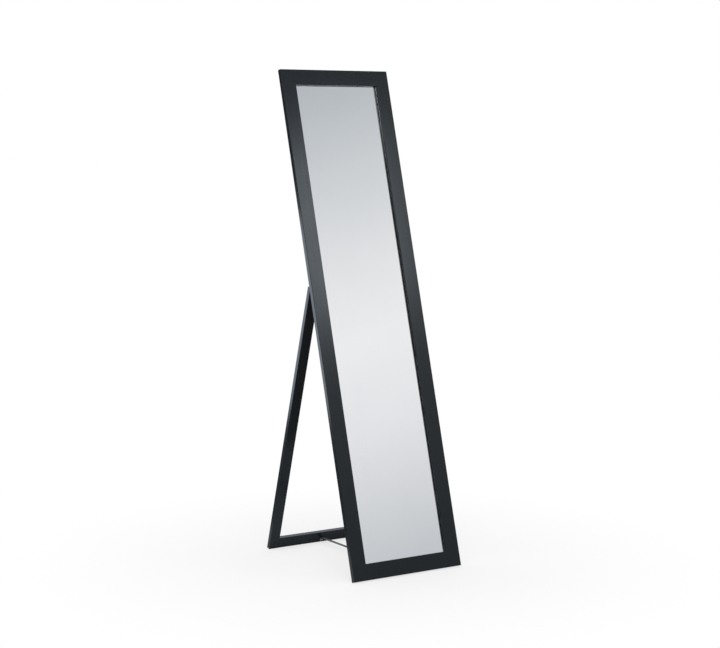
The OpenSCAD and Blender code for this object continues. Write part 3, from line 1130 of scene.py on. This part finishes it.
@dataclass
class StandFrame:
    """The stand: two posts and two rails, hinged from the mirror's back."""

    mirror: MirrorFrame
    lean_deg: float = 16.0
    post_w: float = 35 * MM
    post_t: float = 15 * MM
    edge_r: float = 1.2 * MM
    end_r: float = 0.6 * MM
    top_drop: float = 3 * MM
    face_y: float = 2.75 * MM
    post_grain: float = 13.0
    rail_grain: float = 17.0

    def place(self) -> Matrix:
        """The stand's own axes: its pins on X, Z up its posts."""
        return Matrix.Translation(joint_point("stand_fold")) @ turn_about("X", self.lean_deg)

    def post_x(self) -> float:
        """How far a post's middle, and its hinge, is from the mirror's middle."""
        return (self.mirror.width - self.mirror.profile_w) / 2

    def length(self) -> float:
        """How far the stand's foot lies below its pins, along the posts."""
        lean = math.radians(self.lean_deg)
        return (joint_point("stand_fold").z + self.face_y * math.sin(lean)) / math.cos(lean)

    def bar(self, length: float, shift: float, ends: bool) -> Mesh:
        """Makes a post or a rail with rounded long edges.

        Args:
            length: Its length.
            shift: Moves its grain along.
            ends: Whether its ends are eased too.

        Returns:
            The bar along X, its front low edge on the X axis.
        """
        thick, wide = self.post_t, self.post_w
        section = [(0.0, 0.0), (thick, 0.0), (thick, wide), (0.0, wide)]
        bm = sweep_section(section, length)
        if ends:
            for side in (-1.0, 1.0):
                round_over(bm, edges_at(bm, 0, side * length / 2), self.end_r, segments=2)
        spans = [e for e in bm.edges if abs(e.verts[0].co.x - e.verts[1].co.x) > length / 2]
        round_over(bm, spans, self.edge_r, segments=6)
        mark_grain(bm, shift)
        mark_rims(bm, section, self.edge_r)
        return bm

    def add(self, node: str, bm: Mesh, place: Matrix) -> None:
        """Adds a bar at its place."""
        Piece(f"lacquered_{node}", bm, place, Body.STAND, STAND_WOOD, node).make()

    def build(self) -> None:
        """Makes the posts and rails and dresses the dowels."""
        outer = self.post_x() + self.post_w / 2
        tall = self.length() - self.top_drop
        for side, left in (("left", -outer), ("right", outer - self.post_w)):
            post = self.bar(tall, self.post_grain + left, ends=True)
            middle = (left + self.post_w, self.face_y, -self.top_drop - tall / 2)
            place = self.place() @ Matrix.Translation(middle) @ turn_about("Y", -90.0)
            self.add(f"stand_post_{side}", post, place)
        span = 2 * (outer - self.post_w)
        for side, height in (("bottom", -self.length()), ("top", -self.top_drop - self.post_w)):
            rail = self.bar(span, self.rail_grain + height, ends=False)
            place = self.place() @ Matrix.Translation((0.0, self.face_y, height))
            self.add(f"stand_rail_{side}", rail, place)
        dress("stand_dowels", BEECH)


@dataclass
class RolledPlate:
    """A flat plate whose tongues are rolled round a pin.

    The pin lies on the X axis. The plate hangs below it, parallel to X and Z,
    with its near face at Y = front.
    """

    width: float
    reach: float
    thickness: float
    front: float
    inner: float
    notch: float
    tongues: Tuple[Span, ...]
    screw_x: float = 0.0
    screw_z: float = 0.0
    screw_r: float = 0.0
    tail_eye: bool = False
    corner_r: float = 1.5 * MM
    curl_deg: float = 292.0
    curl_steps: int = 26
    edge_r: float = 0.15 * MM
    rim_slack: float = 0.1 * MM

    def _holes(self) -> List[Vector]:
        """The middles of the screw holes on the near face, if it has any."""
        sides = (-1.0, 1.0) if self.screw_r else ()
        return [Vector((side * self.screw_x, self.front, self.screw_z)) for side in sides]

    def _blank(self) -> Mesh:
        """Cuts the flat blank with its rounded corners and screw holes.

        Returns:
            The blank's near face.
        """
        bm = bmesh.new()
        bmesh.ops.create_grid(bm, x_segments=1, y_segments=1, size=0.5)
        tall = self.reach - self.notch
        upright = turn_about("X", 90.0)
        bmesh.ops.scale(bm, vec=(self.width, tall, 1.0), verts=bm.verts)
        bmesh.ops.rotate(bm, matrix=upright.to_3x3(), verts=bm.verts)
        middle = Vector((0.0, self.front, -self.notch - tall / 2))
        bmesh.ops.translate(bm, vec=middle, verts=bm.verts)
        if not self.tail_eye:
            bmesh.ops.bevel(
                bm,
                geom=[v for v in bm.verts if v.co.z < middle.z],
                offset=self.corner_r,
                affect="VERTICES",
                segments=6,
                profile=BEVEL_PROFILE,
                material=NO_MATERIAL,
            )
        if self.screw_r:
            bmesh.ops.delete(bm, geom=bm.faces[:], context="FACES_ONLY")
            for hole in self._holes():
                bmesh.ops.create_circle(
                    bm,
                    cap_ends=False,
                    segments=ROUND_STEPS,
                    radius=self.screw_r,
                    matrix=Matrix.Translation(hole) @ upright,
                )
            bmesh.ops.triangle_fill(
                bm, edges=bm.edges[:], use_beauty=True, normal=(0.0, -1.0, 0.0)
            )
        return bm

    def _countersink(self, rear: Sequence[Vert]) -> None:
        """Narrows the screw holes towards the far face.

        Args:
            rear: The far face's points, while they still lie on the near one.
        """
        for vert, hole in product(rear, self._holes()):
            arm = vert.co - hole
            if arm.length < self.screw_r + self.rim_slack:
                vert.co = hole + arm * (1.0 - self.thickness / self.screw_r)

    def _ends(self, bm: Mesh, height: float, low: float, high: float) -> List[Face]:
        """Finds the faces of an end between two places across it.

        Args:
            bm: The plate.
            height: The Z of the end.
            low: The least X.
            high: The greatest X.

        Returns:
            The faces.
        """
        return [
            f
            for f in bm.faces
            if all(abs(v.co.z - height) < CLOSE for v in f.verts)
            and low < f.calc_center_median().x < high
        ]

    def _roll(self, bm: Mesh, faces: Sequence[Face], height: float, degrees: float) -> None:
        """Rolls end faces round a pin.

        Args:
            bm: The plate.
            faces: The faces at the end of the tongue.
            height: The Z of the pin's axis.
            degrees: The roll, by the right hand about X.
        """
        corners = {v for f in faces for v in f.verts}
        sides = {e for f in faces for e in f.edges}
        bmesh.ops.spin(
            bm,
            geom=list(corners) + list(sides) + list(faces),
            cent=(0.0, 0.0, height),
            axis=(1.0, 0.0, 0.0),
            angle=math.radians(degrees),
            steps=self.curl_steps,
            use_duplicate=False,
        )

    def build(self) -> Mesh:
        """Makes the plate.

        Returns:
            The closed mesh.
        """
        bm = self._blank()
        half = self.width / 2
        for x in sorted({x for span in self.tongues for x in span}):
            if abs(x) < half - CLOSE:
                bmesh.ops.bisect_plane(
                    bm, geom=everything(bm), plane_co=(x, 0.0, 0.0), plane_no=(1.0, 0.0, 0.0)
                )
        thick = bmesh.ops.extrude_face_region(bm, geom=bm.faces[:], use_keep_orig=True)
        rear = only(Vert, thick["geom"])
        self._countersink(rear)
        bmesh.ops.translate(bm, vec=(0.0, self.thickness, 0.0), verts=rear)
        bmesh.ops.recalc_face_normals(bm, faces=bm.faces)
        step = (0.0, self.inner - self.front, self.notch)
        for low, high in self.tongues:
            ends = self._ends(bm, -self.notch, low, high)
            sides = {e for f in ends for e in f.edges}
            grown = bmesh.ops.extrude_face_region(bm, geom=ends + list(sides))
            bmesh.ops.translate(bm, vec=step, verts=only(Vert, grown["geom"]))
            self._roll(bm, self._ends(bm, 0.0, low, high), 0.0, self.curl_deg)
        if self.tail_eye:
            tail = self._ends(bm, -self.reach, -half, half)
            self._roll(bm, tail, -self.reach, -self.curl_deg)
        merge(bm)
        round_over(bm, [e for e in bm.edges if is_sharp(e)], self.edge_r, segments=2)
        bmesh.ops.dissolve_degenerate(bm, dist=CLOSE, edges=bm.edges[:])
        return bm


@dataclass
class HingePair:
    """The two butt hinges: rolled leaves, pins and screws."""

    mirror: MirrorFrame
    stand: StandFrame
    length: float = 25 * MM
    leaf_h: float = 24 * MM
    leaf_t: float = 1.2 * MM
    pin_r: float = 1.2 * MM
    fit: float = 0.05 * MM
    run_gap: float = 0.3 * MM
    knuckles: int = 3
    screw_pitch: float = 13 * MM
    screw_share: float = 0.8
    head_r: float = 2.7 * MM

    def leaf(self, own: Sequence[int]) -> Mesh:
        """Makes a leaf.

        Args:
            own: Which of the hinge's knuckles are rolled from it.

        Returns:
            The leaf below its pin, its back at the stand-off.
        """
        each = (self.length - (self.knuckles - 1) * self.run_gap) / self.knuckles
        starts = [k * (each + self.run_gap) - self.length / 2 for k in own]
        standoff = self.mirror.hinge_standoff
        return RolledPlate(
            width=self.length,
            reach=self.leaf_h,
            thickness=self.leaf_t,
            front=standoff - self.leaf_t,
            inner=self.pin_r + self.fit,
            notch=standoff + self.run_gap,
            tongues=tuple((x, x + each) for x in starts),
            screw_x=self.screw_pitch / 2,
            screw_z=-self.leaf_h * self.screw_share,
            screw_r=self.head_r + self.fit,
        ).build()

    def build(self) -> None:
        """Makes the leaves and pins and dresses the screws."""
        for side, sign in (("left", -1.0), ("right", 1.0)):
            x = sign * self.stand.post_x()
            pin = Vector((x, self.mirror.hinge_standoff, self.mirror.hinge_h))
            on_back = self.mirror.place() @ Matrix.Translation(pin) @ turn_about("Z", 180.0)
            on_post = self.stand.place() @ Matrix.Translation((x, 0.0, 0.0))
            leaves = (
                ("fixed", (0, 2), on_back, Body.MIRROR),
                ("swing", (1,), on_post, Body.STAND),
            )
            for part, own, place, body in leaves:
                name = f"leaf_{part}_{side}"
                Piece(
                    f"rolled_{name}", self.leaf(own), place, body, HINGE_LEAF, f"hinge_{name}"
                ).make()
            name = f"hinge_pin_{side}"
            bm = turned_pin(self.length, self.pin_r)
            Piece(f"turned_{name}", bm, on_post, Body.STAND, HINGE_PIN, name).make()
        for part in ("fixed", "swing"):
            dress(f"hinge_screws_{part}", ZINC)


@dataclass
class FoldingStay:
    """The flat stay: two straps with rolled eyes between two brackets."""

    mirror: MirrorFrame
    stand: StandFrame
    width: float = 12 * MM
    thickness: float = 1.5 * MM
    pin_r: float = 1.2 * MM
    fit: float = 0.05 * MM
    run_gap: float = 0.3 * MM
    standoff: float = 0.6 * MM
    rear_h: float = 14.5 * MM
    front_h: float = 13 * MM
    bracket_h: float = 11.5 * MM
    screw_head_r: float = 1.9 * MM
    strap_curl_deg: float = 278.0
    rivet_share: float = 0.8
    dome_step_deg: int = 10
    lug_share: float = 3.0

    def eye_r(self) -> float:
        """The outer radius of an eye."""
        return self.pin_r + self.fit + self.thickness

    def ear(self) -> float:
        """The length along the pin of the link's eye and of each bracket eye."""
        return (self.width - 2 * self.run_gap) / 3

    def link_x(self) -> float:
        """How far each link lies from the middle."""
        return (self.width + self.run_gap) / 2

    def link_lengths(self, front: Vector, rear: Vector) -> Tuple[float, float]:
        """Finds the links' lengths to the knee, so that they fold flat.

        Args:
            front: The middle of the front bracket's pin.
            rear: The middle of the rear bracket's pin.

        Returns:
            The front link's length and the rear link's.
        """
        whole = math.hypot(rear.y - front.y, rear.z - front.z)
        drift = self.mirror.hinge_h - self.stand.length() + self.rear_h - self.front_h
        return (whole + drift) / 2, (whole - drift) / 2

    def bracket(self) -> Mesh:
        """Makes a bracket below its pin, its back towards +Y.

        Returns:
            The bracket.
        """
        half, ear = self.width / 2, self.ear()
        return RolledPlate(
            width=self.width,
            reach=self.bracket_h,
            thickness=self.thickness,
            front=self.eye_r() + self.standoff - self.thickness,
            inner=self.pin_r + self.fit,
            notch=self.eye_r() + self.run_gap,
            tongues=((-half, ear - half), (half - ear, half)),
            screw_x=self.width / 4,
            screw_z=-(self.eye_r() + self.bracket_h) / 2,
            screw_r=self.screw_head_r + self.fit,
        ).build()

    def strap(self, length: float) -> Mesh:
        """Makes a link's strap with an eye rolled under each end.

        Args:
            length: From its bracket pin to the knee.

        Returns:
            The strap along +Y from its bracket pin.
        """
        ear = self.ear()
        bm = RolledPlate(
            width=self.width,
            reach=length,
            thickness=self.thickness,
            front=self.pin_r + self.fit,
            inner=self.pin_r + self.fit,
            notch=self.eye_r() + self.run_gap,
            tongues=((-ear / 2, ear / 2),),
            tail_eye=True,
            curl_deg=self.strap_curl_deg,
        ).build()
        bm.transform(turn_about("X", 90.0))
        return bm

    def add_lug(self, bm: Mesh, length: float) -> None:
        """Adds the stop lug over the knee, and its weld, to the rear strap.

        Args:
            bm: The rear strap along +Y, its inner side towards +X.
            length: From its bracket pin to the knee.
        """
        reach = self.eye_r() * self.lug_share
        wide, thick = self.width + self.run_gap, self.thickness
        low = self.eye_r() + 2 * self.fit
        corners = set(
            add_box(bm, (wide / 2, length, low + thick / 2), (wide, 2 * reach, thick))
        )
        upright = [
            e
            for e in bm.edges
            if corners.issuperset(e.verts)
            and abs(e.verts[0].co.z - e.verts[1].co.z) > thick / 2
        ]
        round_over(bm, upright, thick, segments=5)
        rim = [e for e in edges_at(bm, 2, low + thick) if is_sharp(e)]
        round_over(bm, rim, thick / 6, segments=3)
        weld = (self.width / 2, reach, 4 * self.fit)
        add_box(bm, (self.width / 4, length - reach / 2, low), weld)

    def rivet(self) -> Mesh:
        """Makes one half of the knee's rivet.

        Returns:
            The rivet on the X axis, its domed head towards -X.
        """
        half = self.width / 2
        head_r = self.eye_r() * self.rivet_share
        head_t = self.thickness * self.rivet_share
        face = half + self.run_gap
        dome = [
            (face + head_t * math.sin(math.radians(a)), head_r * math.cos(math.radians(a)))
            for a in range(0, 90, self.dome_step_deg)
        ]
        shank = [(-half, 0.0), (-half, self.pin_r), (face, self.pin_r)]
        bm = turned(shank + dome + [(face + head_t, 0.0)])
        bm.transform(turn_about("Z", 180.0))
        return bm

    def build_brackets(self) -> None:
        """Makes the brackets and their pins and dresses their screws."""
        x, eye_y = self.link_x(), self.eye_r() + self.standoff
        rear_z = self.rear_h - self.stand.length()
        front = Matrix.Translation((-x, eye_y, self.front_h))
        rear = Matrix.Translation((x, self.stand.face_y - eye_y, rear_z))
        ends = (
            ("front", self.mirror.place() @ front @ turn_about("Z", 180.0), Body.MIRROR),
            ("rear", self.stand.place() @ rear, Body.STAND),
        )
        for end, place, body in ends:
            pin = turned_pin(self.width, self.pin_r)
            bracket = f"bracket_{end}"
            Piece(
                f"rolled_{bracket}", self.bracket(), place, body, STAY_STRIP, f"stay_{bracket}"
            ).make()
            Piece(f"turned_stay_pin_{end}", pin, place, body, STAY_PIN, f"stay_pin_{end}").make()
            dress(f"stay_screws_{end}", BRIGHT_STEEL)

    def build_links(self) -> None:
        """Makes the two links with their halves of the rivet."""
        front, rear = (joint_point(f"{end}_link_fold") for end in ("front", "rear"))
        rise = rear - front
        tilt = Matrix.Rotation(math.atan2(rise.z, rise.y), 4, "X")
        front_l, rear_l = self.link_lengths(front, rear)
        back = Matrix.Translation(rear) @ tilt @ turn_about("Z", 180.0)
        links = (
            ("front", front_l, Matrix.Translation(front) @ tilt, Body.STAY_FRONT),
            ("rear", rear_l, back, Body.STAY_REAR),
        )
        for end, length, place, body in links:
            strap = self.strap(length)
            if body is Body.STAY_REAR:
                self.add_lug(strap, length)
            knee = place @ Matrix.Translation((0.0, length, 0.0))
            Piece(f"flat_link_{end}", strap, place, body, STAY_STRIP, f"stay_link_{end}").make()
            Piece(f"knee_rivet_{end}", self.rivet(), knee, body, STAY_PIN, f"knee_pin_{end}").make()

    def build(self) -> None:
        """Makes the whole stay."""
        self.build_brackets()
        self.build_links()


# The studio


@dataclass
class Lamp:
    """A square or oblong soft lamp that faces a point."""

    name: str
    at: Spot
    towards: Spot
    size: Span
    level: float
    colour: Colour = (1.0, 1.0, 1.0)

    def hang(self) -> bpy.types.Object:
        """Hangs the lamp.

        Returns:
            The lamp's object.
        """
        light = bpy.data.lights.new(self.name, "AREA")
        light.shape = "RECTANGLE"
        light.size, light.size_y = self.size
        light.energy = self.level * math.pi * self.size[0] * self.size[1]
        light.color = self.colour
        made = add_object(self.name, light)
        made.location = self.at
        aim = Vector(self.towards) - Vector(self.at)
        made.rotation_euler = aim.to_track_quat("-Z", "Y").to_euler()
        made.visible_camera = False
        return made


def around(azimuth: float, elevation: float, distance: float, height: float) -> Spot:
    """Finds a place round the object.

    Args:
        azimuth: Degrees from the front towards the right.
        elevation: Degrees above the level of height.
        distance: Metres from the object's middle axis.
        height: The height that the elevation is taken from.

    Returns:
        The place.
    """
    turn, rise = math.radians(azimuth), math.radians(elevation)
    return (
        distance * math.sin(turn) * math.cos(rise),
        -distance * math.cos(turn) * math.cos(rise),
        height + distance * math.sin(rise),
    )


LAMPS = (
    Lamp(
        "soft key",
        at=(-1.5, -2.5, 4.0),
        towards=(0.0, 0.0, 0.6),
        size=(2.5, 2.5),
        level=2.4,
    ),
    Lamp(
        "low side lamp",
        at=around(azimuth=-148.0, elevation=0.0, distance=2.5, height=0.53),
        towards=(0.0, 0.0, 0.53),
        size=(1.4, 0.88),
        level=2.85,
        colour=(0.9, 1.0, 1.12),
    ),
    Lamp(
        "high rear lamp",
        at=around(azimuth=136.0, elevation=39.0, distance=4.5, height=0.0),
        towards=(0.0, 0.2, 0.0),
        size=(2.4, 1.8),
        level=1.1,
        colour=(0.92, 1.0, 1.1),
    ),
)
STRIP_LAMP = Lamp(
    "strip for the lacquer",
    at=around(azimuth=34.6, elevation=22.9, distance=9.0, height=1.05),
    towards=(0.0, 0.0, 1.05),
    size=(1.2, 1.45),
    level=5.3,
    colour=(0.94, 1.0, 1.06),
)


@dataclass
class Studio:
    """Camera, floor, sky and lamps."""

    lens: float = 89.574
    sensor: float = 36.0
    clip_end: float = 200.0
    camera_at: Spot = (-3.10017, -4.66465, 1.38663)
    yaw: float = 0.5853
    pitch: float = -0.11318
    roll: float = 0.00469

    # What the camera sees, and the even light on surfaces that aren't glossy
    white: Colour = (1.0, 1.0, 1.0)
    fill: Colour = (0.78, 0.78, 0.78)
    # Elevation in degrees and brightness of the room that glossy surfaces see
    room: Tuple[Tuple[float, Colour], ...] = (
        (-6.0, (0.13, 0.14, 0.15)),
        (3.0, (0.18, 0.19, 0.20)),
        (10.0, (0.48, 0.505, 0.53)),
        (16.4, (0.845, 0.862, 0.88)),
        (19.0, (0.925, 0.935, 0.945)),
        (20.8, (0.865, 0.878, 0.89)),
        (28.0, (0.46, 0.50, 0.53)),
        (34.0, (0.36, 0.38, 0.40)),
        (46.0, (0.85, 0.85, 0.85)),
    )
    # Two pale cards in front are seen in the lip, one low and one high on the
    # left. Their edges fade over these spans of how far a direction points
    # ahead, up or to the left. Going up, the low card ends and the high begins
    card: Colour = (0.94, 0.975, 1.0)
    card_ahead: Span = (0.2, 0.5)
    low_card_up: Span = (0.02, 0.1)
    high_card_up: Span = (0.38, 0.45)
    high_card_left: Span = (0.25, 0.45)

    floor_half: float = 40.0
    floor_colour: Colour = (0.86, 0.86, 0.86)
    floor_cloud: float = 0.985
    # How white the camera sees the floor's middle, the distances over which it
    # turns all white, and how white reflections see it
    floor_white: float = 0.68
    white_reach: Span = (0.3, 1.2)
    floor_shown: float = 0.2
    # Reflections see the card's colour far ahead, and a dim floor far off on
    # the other sides, and nearer behind on the left, where the weights point
    dim: Colour = (0.2, 0.21, 0.22)
    far_reach: Span = (1.5, 9.0)
    beside_scale: Spot = (1.0, 0.5, 1.0)
    beside_reach: Span = (0.38, 0.52)
    left_weight: float = 0.55
    rear_weight: float = 0.83
    rear_reach: Span = (0.05, 0.25)

    def build_camera(self) -> None:
        """Stands the camera where the photograph was taken from."""
        level = Vector((math.cos(self.yaw), -math.sin(self.yaw), 0.0))
        forward = Vector(
            (
                math.sin(self.yaw) * math.cos(self.pitch),
                math.cos(self.yaw) * math.cos(self.pitch),
                math.sin(self.pitch),
            )
        )
        upward = level.cross(forward)
        right = math.cos(self.roll) * level + math.sin(self.roll) * upward
        top = math.cos(self.roll) * upward - math.sin(self.roll) * level
        data = bpy.data.cameras.new("camera")
        data.lens = self.lens
        data.sensor_width = self.sensor
        data.sensor_fit = "HORIZONTAL"
        data.clip_end = self.clip_end
        made = add_object("camera", data)
        facing = Matrix((right, top, -forward)).transposed().to_4x4()
        made.matrix_world = Matrix.Translation(self.camera_at) @ facing
        bpy.context.scene.camera = made

    def build_world(self) -> None:
        """Gives the camera white, glossy surfaces the room, the rest soft light."""
        world = bpy.data.worlds.new("studio")
        bpy.context.scene.world = world
        world.use_nodes = True
        recipe = Recipe(world.node_tree)
        direction = recipe.node("ShaderNodeTexCoord", {}, {}, "Generated")
        side, depth, height = recipe.axes(direction)
        # The ramp runs from straight down at 0 to straight up at 1
        stops = [((math.sin(math.radians(e)) + 1.0) / 2.0, colour) for e, colour in self.room]
        upward = {"Fac": height * 0.5 + 0.5}
        behind = recipe.node("ShaderNodeValToRGB", {"stops": stops}, upward)
        ahead = (0.0 - depth).rise(*self.card_ahead)
        low = ahead * (1.0 - height.rise(*self.low_card_up))
        left = (0.0 - side).rise(*self.high_card_left)
        high = ahead * left * height.rise(*self.high_card_up)
        room = recipe.mix(low.at_least(high), behind, self.card)
        seen, shown = recipe.rays()
        sky = recipe.mix(seen, recipe.mix(shown, self.fill, room), self.white)
        light = recipe.node("ShaderNodeBackground", {}, {"Color": sky, "Strength": 1.0})
        recipe.node("ShaderNodeOutputWorld", {}, {"Surface": light})

    def paint_floor(self, recipe: Recipe) -> None:
        """Builds the floor's nodes.

        Args:
            recipe: The floor's material.
        """
        place = recipe.place()
        seen, shown = recipe.rays()
        reach = recipe.vector_math("LENGTH", place, "Value")
        squeezed = recipe.stretched(place, self.beside_scale)
        beside = recipe.vector_math("LENGTH", squeezed, "Value")
        across, deep, _ = recipe.axes(place)
        _, heading, _ = recipe.axes(recipe.vector_math("NORMALIZE", place, "Vector"))
        clouded = tuple(self.floor_cloud * c for c in self.floor_colour)
        cloud = recipe.noise(place, scale=3.0, detail=2.0)
        colour = recipe.mix(cloud, self.floor_colour, clouded)
        matt = recipe.node("ShaderNodeBsdfDiffuse", {}, {"Color": colour})
        fade = self.floor_white + (1.0 - self.floor_white) * reach.rise(*self.white_reach)
        lit = (seen * fade).at_least(shown * self.floor_shown)
        ahead = (0.0 - heading).rise(*self.card_ahead)
        rear = (deep * self.rear_weight - across * self.left_weight).rise(*self.rear_reach)
        aside = shown * beside.rise(*self.beside_reach) * rear
        distant = shown * reach.rise(*self.far_reach)
        pale = recipe.cover(lit, matt, recipe.glow(self.white))
        front = recipe.cover(distant * ahead, pale, recipe.glow(self.card))
        away = aside.at_least(distant) * (1.0 - ahead)
        whole = recipe.cover(away, front, recipe.glow(self.dim))
        recipe.node("ShaderNodeOutputMaterial", {}, {"Surface": whole})

    def build_floor(self) -> None:
        """Lays the pale floor."""
        bm = bmesh.new()
        bmesh.ops.create_grid(bm, x_segments=1, y_segments=1, size=self.floor_half)
        mesh = bpy.data.meshes.new("floor")
        bm.to_mesh(mesh)
        bm.free()
        paint = bpy.data.materials.new("pale floor")
        paint.use_nodes = True
        self.paint_floor(Recipe(paint.node_tree))
        mesh.materials.append(paint)
        floor = add_object("floor", mesh)

    def build_lamps(self) -> None:
        """Hangs the lamps. The strip lights everything but the pane."""
        for lamp in LAMPS:
            lamp.hang()
        strip = STRIP_LAMP.hang()
        kept = bpy.data.collections.new("what the strip lights")
        bpy.context.scene.collection.children.link(kept)
        for thing in list(bpy.context.scene.objects):
            if thing.type == "MESH" and thing.name != "silvered_pane":
                kept.objects.link(thing)
        strip.light_linking.receiver_collection = kept

    def build(self) -> None:
        """Builds the studio round the finished object."""
        self.build_camera()
        self.build_floor()
        self.build_world()
        self.build_lamps()
        bpy.context.scene.view_settings.view_transform = "Standard"
        log.info("studio: camera, floor, sky and %d lamps", len(LAMPS) + 1)


def main() -> None:
    """Builds the mirror and its studio."""
    logging.basicConfig(level=logging.INFO, format="%(name)s: %(message)s")
    mirror = MirrorFrame()
    mirror.build()
    stand = StandFrame(mirror)
    stand.build()
    HingePair(mirror, stand).build()
    FoldingStay(mirror, stand).build()
    Studio().build()


if __name__ == "__main__":
    main()
